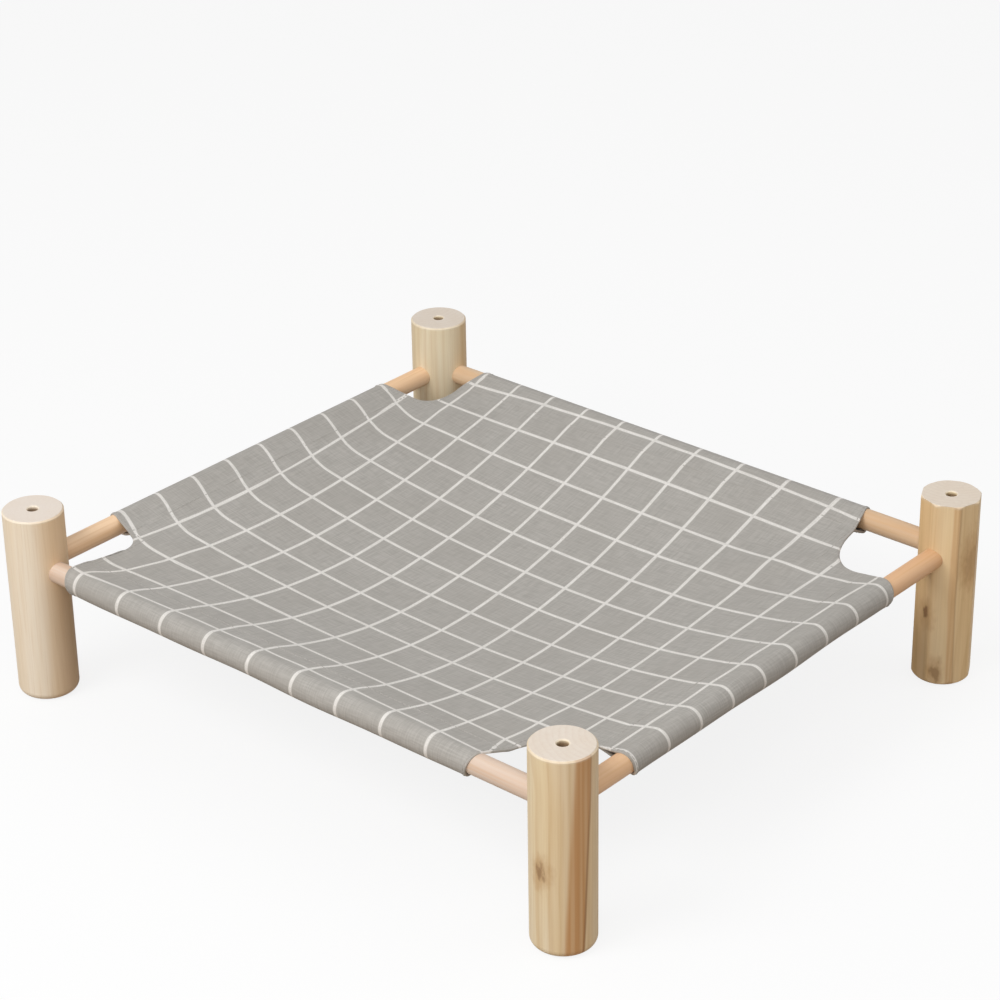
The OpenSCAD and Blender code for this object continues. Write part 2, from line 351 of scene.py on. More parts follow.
class SlingGrid:
    """One sheet of canvas as a grid of columns and rows, with the corners left out.

    A line of the grid is (zone, share), with a path length for the share in a sleeve. A corner between two
    sleeves has no cells.
    """

    def __init__(self):
        self.columns = self.lines(SEAM_X, SEAM_ENDS["front"])
        self.rows = self.lines(SEAM_Y, SEAM_ENDS["right"])
        self.edge_i = self.zone_edges(self.columns)
        self.edge_j = self.zone_edges(self.rows)
        self.points = []
        self.flat = []
        self.thick = []
        self.index = {}
        self.plan = {}
        self.make_plan()
        self.round_cut_outs()
        self.make_panel()
        self.make_sleeves()

    def lines(self, seam, ends):
        """The lines in one direction, from free edge to free edge."""
        paths = SECTION.stations()
        found = [(FIRST_SLEEVE, path) for path in reversed(paths)]
        found += [(FIRST_CUT, share) for share in stretch(-seam, ends[0])[:-1]]
        found += [(MIDDLE, share) for share in hemmed_stretch(*ends)]
        found += [(LAST_CUT, share) for share in stretch(ends[1], seam)[1:]]
        found += [(LAST_SLEEVE, path) for path in paths]
        return found

    def zone_edges(self, lines):
        """Numbers of the lines at the first seam, the two ends of the middle and the last seam."""
        start = [zone for zone, _ in lines].index
        return start(FIRST_CUT), start(MIDDLE), start(LAST_CUT) - 1, start(LAST_SLEEVE) - 1

    def across(self, line, sides, seam, other, other_seam):
        """Place of a line in one direction, at a place in the other."""
        zone, share = line
        lean = (other + other_seam) / (2 * other_seam)
        first, last = (a + (b - a) * lean for a, b in zip(SEAM_ENDS[sides[0]], SEAM_ENDS[sides[1]]))
        low, high = {FIRST_CUT: (-seam, first), MIDDLE: (first, last), LAST_CUT: (last, seam)}[zone]
        return low + (high - low) * share

    def make_plan(self):
        """Plan place of every grid point on or inside the seams."""
        for i, column in enumerate(self.columns):
            for j, row in enumerate(self.rows):
                zones = {column[0], row[0]}
                if MIDDLE not in zones or zones & {FIRST_SLEEVE, LAST_SLEEVE}:
                    continue
                x, y = 0.0, 0.0
                for _ in range(PLAN_ROUNDS):
                    x = self.across(column, ("front", "back"), SEAM_X, y, SEAM_Y)
                    y = self.across(row, ("left", "right"), SEAM_Y, x, SEAM_X)
                self.plan[i, j] = np.array([x, y])

    def corner_lines(self, end, side):
        """Numbers of the seam and the middle's end at a cut-out, and the steps from there to the middle."""
        first_i, low_i, high_i, last_i = self.edge_i
        first_j, low_j, high_j, last_j = self.edge_j
        at_i = (first_i, low_i, 1) if side == "left" else (last_i, high_i, -1)
        at_j = (first_j, low_j, 1) if end == "front" else (last_j, high_j, -1)
        return at_i, at_j

    def round_cut_outs(self):
        """Moves the edges of the cut-outs to their rounded outline and evens out the grid behind them."""
        seams_i = (self.edge_i[0], self.edge_i[-1])
        seams_j = (self.edge_j[0], self.edge_j[-1])
        fixed = {(i, j) for i, j in self.plan if i in seams_i or j in seams_j}
        corners = []
        for (end, side), heart in CUT_OUTS.items():
            (seam_i, i, step_i), (seam_j, j, step_j) = self.corner_lines(end, side)
            chain = [(i, k) for k in range(seam_j, j, step_j)] + [(k, j) for k in range(i, seam_i, -step_i)]
            chain.append((seam_i, j))
            start, stop = self.plan[chain[0]], self.plan[chain[-1]]
            first = start + CUT_OUT_PULL * (np.array(heart) - start)
            second = stop + CUT_OUT_PULL * (np.array(heart) - stop)
            for key, t in zip(chain, np.linspace(0, 1, len(chain))):
                early = (1 - t) ** 2 * ((1 - t) * start + 3 * t * first)
                late = t**2 * (3 * (1 - t) * second + t * stop)
                self.plan[key] = early + late
            fixed.update(chain)
            corners.append((i, j))
        self.even_out(fixed, corners)

    def even_out(self, fixed, corners):
        """Moves the loose points near the corners towards the middle of their neighbours."""
        loose = {}
        for i, j in self.plan:
            steps = min(abs(i - a) + abs(j - b) for a, b in corners)
            if (i, j) not in fixed and steps < EVEN_STEPS:
                near = [n for n in ((i - 1, j), (i + 1, j), (i, j - 1), (i, j + 1)) if n in self.plan]
                loose[i, j] = near, EVEN_PULL * (1 - steps / EVEN_STEPS)
        for _ in range(EVEN_ROUNDS):
            moved = {}
            for key, (near, pull) in loose.items():
                middle = sum(self.plan[n] for n in near) / len(near)
                moved[key] = (1 - pull) * self.plan[key] + pull * middle
            self.plan.update(moved)

    def hem_share(self, line, ends):
        """1 on the hem at the two ends of the middle and 0 past it."""
        zone, share = line
        if zone != MIDDLE:
            return 0.0
        from_end = min(share, 1 - share) * (ends[1] - ends[0])
        return 1.0 - float(smooth(HEM_FULL_SHARE * HEM_WIDTH, HEM_WIDTH, from_end))

    def add(self, key, point, flat, thick):
        self.index[key] = len(self.points)
        self.points.append(point)
        self.flat.append(flat)
        self.thick.append(thick)

    def make_panel(self):
        """Adds the points on and inside the seams."""
        places = np.array(list(self.plan.values()))
        heights = sling_height(places[:, 0], places[:, 1])
        for (i, j), (x, y), height in zip(self.plan, places, heights):
            column, row = self.columns[i], self.rows[j]
            thick = 0.0
            if row[0] != MIDDLE:
                thick = self.hem_share(column, SEAM_ENDS["front"])
            elif column[0] != MIDDLE:
                thick = self.hem_share(row, SEAM_ENDS["right"])
            self.add((i, j), (x, y, height), (x, y), thick)

    def make_sleeves(self):
        """Adds the points past the seams."""
        first_i, _, _, last_i = self.edge_i
        first_j, _, _, last_j = self.edge_j
        for side, seam in zip(SIDES, (first_j, last_i, last_j, first_i)):
            upright = side not in ALONG_X
            across, alongside = (self.columns, self.rows) if upright else (self.rows, self.columns)
            zone = FIRST_SLEEVE if side in ("front", "left") else LAST_SLEEVE
            middle = [b for b, line in enumerate(alongside) if line[0] == MIDDLE]
            for a, (a_zone, path) in enumerate(across):
                if a_zone == zone:
                    for b in middle:
                        at_seam = self.plan[(seam, b) if upright else (b, seam)][1 if upright else 0]
                        thick = self.hem_share(alongside[b], SEAM_ENDS[side])
                        self.add_on_sleeve((a, b) if upright else (b, a), side, at_seam, path, thick)

    def add_on_sleeve(self, key, side, at_seam, path, thick):
        """Adds the point of a sleeve that belongs to a place at its seam."""
        low, high = SEAM_ENDS[side]
        first_in, last_in = SECTION.slants(side, path)
        share = (at_seam - low) / (high - low)
        along = at_seam + first_in * (1 - share) - last_in * share
        point, normal = on_sleeve(side, along, path)
        seam = SEAM_Y if side in ALONG_X else SEAM_X
        x, y, _ = beside_rail(side, along, seam + path, 0.0)
        self.add(key, tuple(point + normal * thick * HEM_LIFT), (x, y), thick)

    def faces(self):
        found = []
        for i in range(len(self.columns) - 1):
            for j in range(len(self.rows) - 1):
                corners = [(i, j), (i + 1, j), (i + 1, j + 1), (i, j + 1)]
                if all(c in self.index for c in corners):
                    found.append([self.index[c] for c in corners])
        return found

    def hem_chain(self, end, side):
        """Numbers of the points along the stitched line of a cut-out's hem, from free edge to free edge."""
        (_, i, step_i), (_, j, step_j) = self.corner_lines(end, side)
        i += HEM_STITCH_LINE * step_i
        j += HEM_STITCH_LINE * step_j
        rows = range(0, j, 1) if step_j > 0 else range(len(self.rows) - 1, j, -1)
        columns = range(i, -1, -1) if step_i > 0 else range(i, len(self.columns))
        return [self.index[i, k] for k in rows] + [self.index[k, j] for k in columns]


# How the check lies on the sling: flat places are in tenths of a metre from its middle, the check in cells
TENTH = 0.1
CELLS_X = 2.55
CELLS_Y = 2.79
START_X = -0.15
START_Y = 0.04
SKEW_X = 0.33
SKEW_Y = 0.07

# The lines drift to the side and bow, in cells for each power of the place (p, q)
DRIFT_PQ = 0.07
DRIFT_PP = -0.033
DRIFT_QQ = 0.038
DRIFT_PPQ = -0.05
DRIFT_PQQ = -0.031
DRIFT_PPP = 0.02
DRIFT_QQQ = -0.025
DRIFT_PPPQ = -0.019
BOW_PP = 0.058
BOW_PQQ = -0.02

# The seams of the left and the front sleeve take up some of a cell, the left sleeve is rolled out a little,
# and the front sleeve has its own spacing
LEFT_SEAM = (-1.98, -2.55)
LEFT_TUCK = 0.46
LEFT_OVER = (-2.2, -2.5)
LEFT_ROLL = 0.12
FRONT_SEAM = (-1.85, -2.15)
FRONT_TUCK = 0.14
FRONT_START = -0.42
FRONT_CELLS = 2.37
FRONT_BOW = 0.04


def woven(x, y):
    """The place of a flat point on the check, in cells.

    The lines run a little askew, are drawn together towards the side rails and bow between them.
    """
    x, y = x / TENTH, y / TENTH
    p = np.clip(x, -SEAM_X / TENTH, SEAM_X / TENTH)
    q = np.clip(y, -SEAM_Y / TENTH, SEAM_Y / TENTH)
    drift = DRIFT_PQ * p * q + DRIFT_PP * p**2 + DRIFT_QQ * q**2 + (DRIFT_PPQ * p + DRIFT_PQQ * q) * p * q
    drift += DRIFT_PPP * p**3 + DRIFT_QQQ * q**3 + DRIFT_PPPQ * q * p**3
    bow = BOW_PP * p**2 + BOW_PQQ * p * q**2
    in_front = smooth(*FRONT_SEAM, y)
    tuck = LEFT_TUCK * smooth(*LEFT_SEAM, x) + FRONT_TUCK * in_front
    across = START_X + CELLS_X * x + SKEW_X * q + drift + LEFT_ROLL * smooth(*LEFT_OVER, x)
    across += in_front * (FRONT_START + FRONT_CELLS * x + FRONT_BOW * x**2 - across)
    return across, START_Y + CELLS_Y * y + SKEW_Y * p + bow - tuck


# Materials

def linear(red, green, blue):
    """An sRGB colour of 0 to 255 as the linear colour that a shader takes."""
    def one(value):
        value /= 255
        return value / 12.92 if value <= 0.04045 else ((value + 0.055) / 1.055) ** 2.4
    return (one(red), one(green), one(blue), 1.0)


# A noise's mean, and the numbers of a Mix node's colour sockets
NOISE_MEAN = 0.5
MIX_FIRST = 6
MIX_SECOND = 7
MIX_RESULT = 2


class Nodes:
    """The node tree of a material or a world, with short calls for the nodes that it needs."""

    def __init__(self, owner, shader="Principled BSDF"):
        owner.use_nodes = True
        self.owner = owner
        self.tree = owner.node_tree
        self.shader = self.tree.nodes[shader]

    def node(self, kind, **settings):
        made = self.tree.nodes.new(kind)
        for key, value in settings.items():
            setattr(made, key, value)
        return made

    def put(self, socket, value):
        if isinstance(value, bpy.types.NodeSocket):
            self.tree.links.new(value, socket)
        else:
            socket.default_value = value

    def set(self, **values):
        """Puts values on the shader's sockets, named with _ for a space."""
        for name, value in values.items():
            self.put(self.shader.inputs[name.replace("_", " ")], value)

    def math(self, operation, *values):
        made = self.node("ShaderNodeMath", operation=operation)
        for socket, value in zip(made.inputs, values):
            self.put(socket, value)
        return made.outputs[0]

    def chain(self, operation, values):
        total = values[0]
        for value in values[1:]:
            total = self.math(operation, total, value)
        return total

    def plus(self, *values):
        return self.chain("ADD", values)

    def times(self, *values):
        return self.chain("MULTIPLY", values)

    def minus(self, first, second):
        return self.math("SUBTRACT", first, second)

    def inverse(self, value):
        return self.minus(1.0, value)

    def vector(self, operation, *values, scale=None):
        made = self.node("ShaderNodeVectorMath", operation=operation)
        for socket, value in zip(made.inputs, values):
            self.put(socket, value)
        if scale is not None:
            made.inputs["Scale"].default_value = scale
        return made.outputs["Value"] if operation == "LENGTH" else made.outputs[0]

    def scaled(self, vector, *factors):
        """The vector with its parts multiplied by three factors."""
        return self.vector("MULTIPLY", vector, factors)

    def parts(self, vector):
        made = self.node("ShaderNodeSeparateXYZ")
        self.put(made.inputs[0], vector)
        return made.outputs

    def combined(self, x, y, z):
        made = self.node("ShaderNodeCombineXYZ")
        for socket, value in zip(made.inputs, (x, y, z)):
            self.put(socket, value)
        return made.outputs[0]

    def place(self):
        return self.node("ShaderNodeTexCoord").outputs["Object"]

    def attribute(self, name):
        return self.node("ShaderNodeAttribute", attribute_name=name).outputs["Vector"]

    def noise(self, vector, scale=1.0, detail=2.0):
        made = self.node("ShaderNodeTexNoise")
        self.put(made.inputs["Vector"], vector)
        made.inputs["Scale"].default_value = scale
        made.inputs["Detail"].default_value = detail
        return made.outputs["Fac"]

    def step(self, value, low, high, unit=1.0):
        """Goes smoothly from 0 at low to 1 at high, both in a unit."""
        made = self.node("ShaderNodeMapRange", interpolation_type="SMOOTHSTEP")
        self.put(made.inputs["Value"], value)
        made.inputs["From Min"].default_value = low * unit
        made.inputs["From Max"].default_value = high * unit
        return made.outputs["Result"]

    def fall(self, value, low, high, unit=1.0):
        """Goes smoothly from 1 at low to 0 at high, both in a unit."""
        return self.inverse(self.step(value, low, high, unit))

    def mix(self, share, first, second):
        made = self.node("ShaderNodeMix", data_type="RGBA")
        self.put(made.inputs["Factor"], share)
        self.put(made.inputs[MIX_FIRST], first)
        self.put(made.inputs[MIX_SECOND], second)
        return made.outputs[MIX_RESULT]

    def bump(self, height, strength, distance):
        made = self.node("ShaderNodeBump")
        made.inputs["Strength"].default_value = strength
        made.inputs["Distance"].default_value = distance
        self.put(made.inputs["Height"], height)
        self.set(Normal=made.outputs[0])

    def seen(self):
        """1 for what the camera sees, also in gloss and through glass, and 0 for any other ray."""
        path = self.node("ShaderNodeLightPath")
        share = path.outputs["Is Camera Ray"]
        for ray in ("Is Glossy Ray", "Is Transmission Ray"):
            share = self.math("MAXIMUM", share, path.outputs[ray])
        return share


def new_material(name):
    return Nodes(bpy.data.materials.new(name))


# The weave: noise scales across and along a thread, the range of the summed slubs, and soft clouds
SLUB_FINE = 900.0
SLUB_LONG = 60.0
SLUB_DETAIL = 3.0
SLUB_RANGE = (0.7, 1.3)
WARP_SEED = 7.0
CLOUD_SCALE = 14.0
CLOUD_RANGE = (0.35, 0.7)
CLOUD_SHARE = 0.35
THREAD_PITCH = 1.0 * MM
WEAVE_HEIGHT = 0.5
CANVAS_BUMP = (0.4, 0.25 * MM)
CANVAS_GREYS = (linear(166, 162, 156), linear(184, 180, 174))
CLOUD_GREY = linear(166, 161, 154)

# The check: its lines' width, the shares of it between which they fade, their unevenness, cover and height
CHECK_LINE = 2.7 * MM
CHECK_FADE_SHARES = (0.36, 0.64)
CHECK_RAGGED = 1.2 * MM
CHECK_COVER = 0.94
CHECK_HEIGHT = 0.4
CHECK_WHITES = (linear(220, 216, 210), linear(240, 236, 231))


def canvas_material():
    """Grey canvas with an off-white windowpane check, drawn in the sheet's own directions."""
    n = new_material("canvas_check")
    flat = n.attribute("flat")
    across, along, _ = n.parts(n.attribute("woven"))
    weft = n.noise(n.scaled(flat, SLUB_LONG, SLUB_FINE, 1.0), detail=SLUB_DETAIL)
    crosswise = n.vector("ADD", n.scaled(flat, SLUB_FINE, SLUB_LONG, 1.0), (0.0, 0.0, WARP_SEED))
    slub = n.plus(weft, n.noise(crosswise, detail=SLUB_DETAIL))
    cloud = n.noise(flat, scale=CLOUD_SCALE, detail=SLUB_DETAIL)

    def line(place, cells):
        off = n.math("ABSOLUTE", n.minus(place, n.math("ROUND", place)))
        ragged = n.plus(n.times(off, TENTH / cells), n.times(n.minus(slub, 2 * NOISE_MEAN), CHECK_RAGGED))
        return n.fall(ragged, *CHECK_FADE_SHARES, unit=CHECK_LINE)

    check = n.math("MAXIMUM", line(across, CELLS_X), line(along, CELLS_Y))
    slubby = n.step(slub, *SLUB_RANGE)
    grey = n.mix(slubby, *CANVAS_GREYS)
    grey = n.mix(n.times(n.step(cloud, *CLOUD_RANGE), CLOUD_SHARE), grey, CLOUD_GREY)
    n.set(Base_Color=n.mix(n.times(check, CHECK_COVER), grey, n.mix(slubby, *CHECK_WHITES)))
    n.set(Roughness=0.92, Specular_IOR_Level=0.2, Sheen_Weight=0.1, Sheen_Roughness=0.5)
    turns = n.vector("SINE", n.vector("SCALE", flat, scale=2 * math.pi / THREAD_PITCH))
    x, y, _ = n.parts(turns)
    n.bump(n.plus(n.times(x, y, WEAVE_HEIGHT), slub, n.times(check, CHECK_HEIGHT)), *CANVAS_BUMP)
    return n.owner


PLY_SCALE = 2500.0
PLY_BUMP = (0.3, 0.1 * MM)
THREAD_GREYS = (linear(164, 160, 154), linear(192, 188, 182))


def thread_material():
    """Matt sewing thread in the grey of the canvas."""
    n = new_material("sewing_thread")
    ply = n.noise(n.place(), scale=PLY_SCALE, detail=1.0)
    n.set(Base_Color=n.mix(ply, *THREAD_GREYS), Roughness=0.8)
    n.bump(ply, *PLY_BUMP)
    return n.owner


SAPWOOD = (linear(241, 228, 201), linear(233, 214, 177))
PALE_SAPWOOD = (linear(249, 236, 216), linear(246, 229, 203))
YELLOW_SAPWOOD = (linear(252, 234, 196), linear(247, 223, 178))
LATEWOOD = linear(200, 162, 110)
# HEARTWOOD also paints warm shade on the sides of the legs that are turned from the light
HEARTWOOD = linear(216, 166, 104)
BROWN_BAND = linear(190, 134, 78)
BAND_EDGE = linear(134, 88, 44)
KNOT_HALO = linear(186, 142, 92)
KNOT_HEART = linear(124, 84, 46)
END_GRAIN = linear(225, 214, 206)
# The sanded rim's colour, also used as a painted highlight in the countersink
SANDED_AND_HIGHLIGHT = linear(244, 232, 214)
# Dark brown painted shade inside a leg's top hole
BORE_PAINTED_SHADE = linear(128, 96, 66)

# Scales of a leg's noises, in x, y and along the fibres, and their detail
SWAY = (14.0, 14.0, 7.0), 2.0
RIPPLE = (60.0, 60.0, 9.0), 2.0
BROAD = (70.0, 70.0, 6.0), 2.0
FIBRE = (900.0, 900.0, 22.0), 3.0
STREAKS = (380.0, 380.0, 5.0), 1.0
RAGGED = (260.0, 260.0, 130.0), 3.0

# Rings: their width, how far they sway and ripple, and the latewood's rise and fall within one
RING_WIDTH = 4.2 * MM
RING_SWAY = 9 * MM
RING_RIPPLE = 2 * MM
LATE_RISE = (0.3, 0.9)
LATE_FALL = (0.9, 1.0)
LATE_HEIGHT = 0.3

# Where the broad tones, streaks and fibres set in, and how much of the latewood's colour the fibres take
BROAD_RANGE = (0.3, 0.7)
STREAK_RANGE = (0.4, 0.8)
FIBRE_RANGE = (0.45, 0.75)
FIBRE_SHARE = 0.16

# A heart's sway, and the shares of the leg's radius between which a heart, a band and a knot set in, towards
# their angles. A heart is darker heartwood on a side turned from the light, and so also painted warm shade
HEART_SWAY = 8 * MM
HEART_SHADE_FACING = (0.1, 1.2)
BAND_FACING = (0.4, 0.8)
KNOT_FACING = (0.3, 0.6)

# A band: its sway, its soft and its sharp edge in half widths, its streaks, and the broken dark line near
# its sharp edge
BAND_SWAY = 7 * MM
BAND_SOFT = (-1.1, -0.6)
BAND_SHARP = (0.62, 0.9)
BAND_STREAK_RANGE = (0.35, 0.65)
BAND_STREAK_SHARE = 0.3
BAND_LINE_PLACE = 0.7
BAND_LINE_FADE = (0.1 * MM, 1.5 * MM)
BAND_LINE_RANGE = (0.4, 0.6)
BAND_LINE_SHARES = (0.15, 0.6)

# A knot, in shares of its half width and half height: its unevenness, its halo and its dark heart
KNOT_RIPPLE = 1.6
KNOT_RAGGED = 2.2
HALO_FADE = (0.6, 2.4)
HALO_SHARE = 0.5
KNOT_FADE = (0.3, 1.0)
KNOT_DEPTH = 0.5

# The ends: end grain, a sanded rim, the hole's mouth, its countersink, paler as bare wood and as a painted
# highlight on its chamfer, painted shade down its bore, and the worn foot, with depths from the top
HOLE_RADIUS = 4 * MM
END_DEPTHS = (0.4 * MM, 0.1 * MM)
END_SHARE = 0.72
RIM_SHARES = (0.9, 1.0)
RIM_DEPTH = 3 * MM
RIM_COVER = 0.5
MOUTH_FADE = (0.6 * MM, 2 * MM)
SINK_HIGHLIGHT_DEPTHS = (1.2 * MM, 0.4 * MM)
SINK_HIGHLIGHT_SHARE = 0.6
BORE_SHADE_DEPTHS = (3 * MM, 0.8 * MM)
BORE_SHADE_SHARE = 0.8
WORN_HEIGHT = 5 * MM
WORN_SHARE = 0.3

# Surfaces of the woods, where the fibres spread the roughness
PINE_SURFACE = dict(roughness=0.5, spread=0.18, specular=0.35, bump=(0.22, 0.22 * MM))
DOWEL_SURFACE = dict(roughness=0.42, spread=0.14, specular=0.4, bump=(0.15, 0.15 * MM))


def finish_wood(n, colour, fibre, height, roughness, spread, specular, bump):
    """Puts a wood's colour and surface on its shader."""
    n.set(Base_Color=colour, Roughness=n.plus(roughness, n.times(fibre, spread)), Specular_IOR_Level=specular)
    n.bump(height, *bump)
    return n.owner


class Pine:
    """The wood of one leg: pale, with rings about a pith line and fibres along Z.

    Angles are in degrees about the leg's axis, from +X towards +Y.
    """

    def __init__(self, node, pith, seed, sapwood):
        low, high = node_box(node)
        middle = (low + high) / 2
        n = new_material("pine_" + node)
        local = n.vector("SUBTRACT", n.place(), (middle[0], middle[1], 0.0))
        shifted = n.vector("ADD", local, (0.0, 0.0, seed))
        level = n.scaled(local, 1.0, 1.0, 0.0)

        def noise(scales, detail):
            return n.noise(n.scaled(shifted, *scales), detail=detail)

        self.n = n
        self.top = high[2]
        self.x, self.y, self.z = n.parts(local)
        self.sway = noise(*SWAY)
        self.ripple = noise(*RIPPLE)
        self.broad = noise(*BROAD)
        self.fibre = noise(*FIBRE)
        self.streaks = noise(*STREAKS)
        self.ragged = noise(*RAGGED)
        self.from_axis = n.vector("LENGTH", level)
        from_pith = n.vector("LENGTH", n.vector("SUBTRACT", level, (*pith, 0.0)))
        wavy = n.plus(from_pith, n.times(self.sway, RING_SWAY), n.times(self.ripple, RING_RIPPLE))
        ring = n.math("FRACT", n.math("DIVIDE", wavy, RING_WIDTH))
        self.late = n.times(n.step(ring, *LATE_RISE), n.fall(ring, *LATE_FALL))
        self.end = self.above(END_DEPTHS)
        self.side = n.inverse(self.end)
        self.height = n.plus(self.fibre, n.times(self.late, LATE_HEIGHT))
        self.colour = n.mix(n.step(self.broad, *BROAD_RANGE), *sapwood)

    def above(self, depths):
        """Goes from 0 to 1 between two depths below the top."""
        return self.n.step(self.z, *(self.top - depth for depth in depths))

    def paint(self, colour, share, *masks):
        """Lays a share of a colour over the wood where the masks let it."""
        self.colour = self.n.mix(self.n.times(*masks, share), self.colour, colour)

    def towards(self, degrees):
        """How far a place lies towards an angle."""
        turn = math.radians(degrees)
        return self.n.plus(self.n.times(self.x, math.cos(turn)), self.n.times(self.y, math.sin(turn)))

    def beside(self, degrees):
        """How far a place lies to the side of an angle."""
        turn = math.radians(degrees)
        return self.n.minus(self.n.times(self.y, math.cos(turn)), self.n.times(self.x, math.sin(turn)))

    def uneven(self, noise, size):
        """A noise about 0, of a size."""
        return self.n.times(self.n.minus(noise, NOISE_MEAN), size)

    def add_heart_and_shade(self, angle, share):
        """Darker heartwood on one side of the leg, set on a side turned from the light: partly painted warm
        shade.
        """
        n = self.n
        near = n.plus(self.towards(angle), n.times(self.sway, HEART_SWAY))
        # Painted warm shade on the side turned from the light, together with the heartwood's own tone
        self.paint(HEARTWOOD, share, n.step(near, *HEART_SHADE_FACING, unit=LEG_RADIUS), self.side)

    def add_grain(self, rings):
        """The latewood of the rings, streaks and fine fibres."""
        n = self.n
        self.paint(LATEWOOD, rings, self.late)
        self.paint(LATEWOOD, rings, n.step(self.streaks, *STREAK_RANGE))
        self.paint(LATEWOOD, FIBRE_SHARE, n.step(self.fibre, *FIBRE_RANGE))

    def add_band(self, angle, half, share, lean):
        """A brown band down the leg, soft on one side and with a dark broken line near its other edge."""
        n = self.n
        leaning = n.times(n.minus(self.top / 2, self.z), lean)
        off = n.plus(self.beside(angle), self.uneven(self.sway, BAND_SWAY), leaning)
        front = n.times(n.step(self.towards(angle), *BAND_FACING, unit=LEG_RADIUS), self.side)
        soft = n.step(off, *BAND_SOFT, unit=half)
        sharp = n.fall(off, *BAND_SHARP, unit=half)
        streaks = n.times(n.step(self.streaks, *BAND_STREAK_RANGE), BAND_STREAK_SHARE)
        self.paint(BROWN_BAND, share, soft, sharp, front, n.plus(1 - BAND_STREAK_SHARE, streaks))
        from_line = n.math("ABSOLUTE", n.minus(off, BAND_LINE_PLACE * half))
        least, more = BAND_LINE_SHARES
        broken = n.plus(least, n.times(n.step(self.broad, *BAND_LINE_RANGE), more))
        self.paint(BAND_EDGE, share, n.fall(from_line, *BAND_LINE_FADE), front, broken)

    def add_knot(self, angle, height, half_width, half_height, share):
        """A soft uneven knot, sunk a little."""
        n = self.n
        aside = n.math("DIVIDE", self.beside(angle), half_width)
        up = n.math("DIVIDE", n.minus(self.z, height), half_height)
        distance = n.plus(
            n.vector("LENGTH", n.combined(aside, up, 0.0)),
            self.uneven(self.ripple, KNOT_RIPPLE),
            self.uneven(self.ragged, KNOT_RAGGED),
        )
        front = n.step(self.towards(angle), *KNOT_FACING, unit=LEG_RADIUS)
        heart = n.times(n.fall(distance, *KNOT_FADE), front)
        self.paint(KNOT_HALO, HALO_SHARE, n.fall(distance, *HALO_FADE), front)
        self.paint(KNOT_HEART, share, heart)
        self.height = n.minus(self.height, n.times(heart, KNOT_DEPTH))

    def add_ends(self):
        """The end grain, sanded rim, the hole's paler mouth that is partly painted highlight, painted shade
        in its bore, worn foot.
        """
        n = self.n
        self.paint(END_GRAIN, END_SHARE, self.end)
        edge = n.step(self.from_axis, *RIM_SHARES, unit=LEG_RADIUS)
        self.paint(SANDED_AND_HIGHLIGHT, RIM_COVER, edge, self.above((RIM_DEPTH, 0)))
        mouth = n.fall(self.from_axis, *(HOLE_RADIUS + past for past in MOUTH_FADE))
        # A paler ring in the countersink: bare wood, and a painted highlight where the chamfer catches the
        # light
        self.paint(SANDED_AND_HIGHLIGHT, SINK_HIGHLIGHT_SHARE, mouth, self.above(SINK_HIGHLIGHT_DEPTHS))
        # Painted shade down the bore, below its mouth
        self.paint(BORE_PAINTED_SHADE, BORE_SHADE_SHARE, mouth, n.inverse(self.above(BORE_SHADE_DEPTHS)))
        self.paint(HEARTWOOD, WORN_SHARE, n.fall(self.z, 0.0, WORN_HEIGHT))


def pine_material(node, pith, seed, hearts_and_shade=(), bands=(), knots=(), rings=0.2, sapwood=SAPWOOD):
    """Pale pine for a leg, with darker heartwood sides that are partly painted warm shade, brown bands and
    knots.

    A heart is (angle, share), a band is (angle, half width, share, lean) and a knot is (angle, height, half
    width, half height, share).
    """
    wood = Pine(node, pith, seed, sapwood)
    for heart in hearts_and_shade:
        wood.add_heart_and_shade(*heart)
    wood.add_grain(rings)
    for band in bands:
        wood.add_band(*band)
    for knot in knots:
        wood.add_knot(*knot)
    wood.add_ends()
    return finish_wood(wood.n, wood.colour, wood.fibre, wood.height, **PINE_SURFACE)


# A dowel's noise scales along and across it, and its fibres' share of the heartwood's colour
DOWEL_FIBRE = (14.0, 700.0)
DOWEL_BROAD = (4.0, 110.0)
DOWEL_FIBRE_DETAIL = 3.0
DOWEL_FIBRE_SHARE = 0.25


def dowel_material(side, seed, pale, deep):
    """Smooth dowel with fine grain along its length."""
    n = new_material("dowel_" + side)
    turned = n.vector("ADD", n.place(), (seed, seed, 0.0))

    def scaled(along, across):
        return n.scaled(turned, *((along, across, across) if side in ALONG_X else (across, along, across)))

    fibre = n.noise(scaled(*DOWEL_FIBRE), detail=DOWEL_FIBRE_DETAIL)
    broad = n.noise(scaled(*DOWEL_BROAD))
    colour = n.mix(n.step(broad, *BROAD_RANGE), pale, deep)
    colour = n.mix(n.times(n.step(fibre, *FIBRE_RANGE), DOWEL_FIBRE_SHARE), colour, HEARTWOOD)
    return finish_wood(n, colour, fibre, fibre, **DOWEL_SURFACE)


# Pieces

def mesh_object(name, points, faces, material):
    mesh = bpy.data.meshes.new(name)
    mesh.from_pydata([tuple(p) for p in points], [], faces)
    mesh.polygons.foreach_set("use_smooth", [True] * len(mesh.polygons))
    mesh.materials.append(material)
    made = bpy.data.objects.new(name, mesh)
    bpy.context.scene.collection.objects.link(made)
    return made


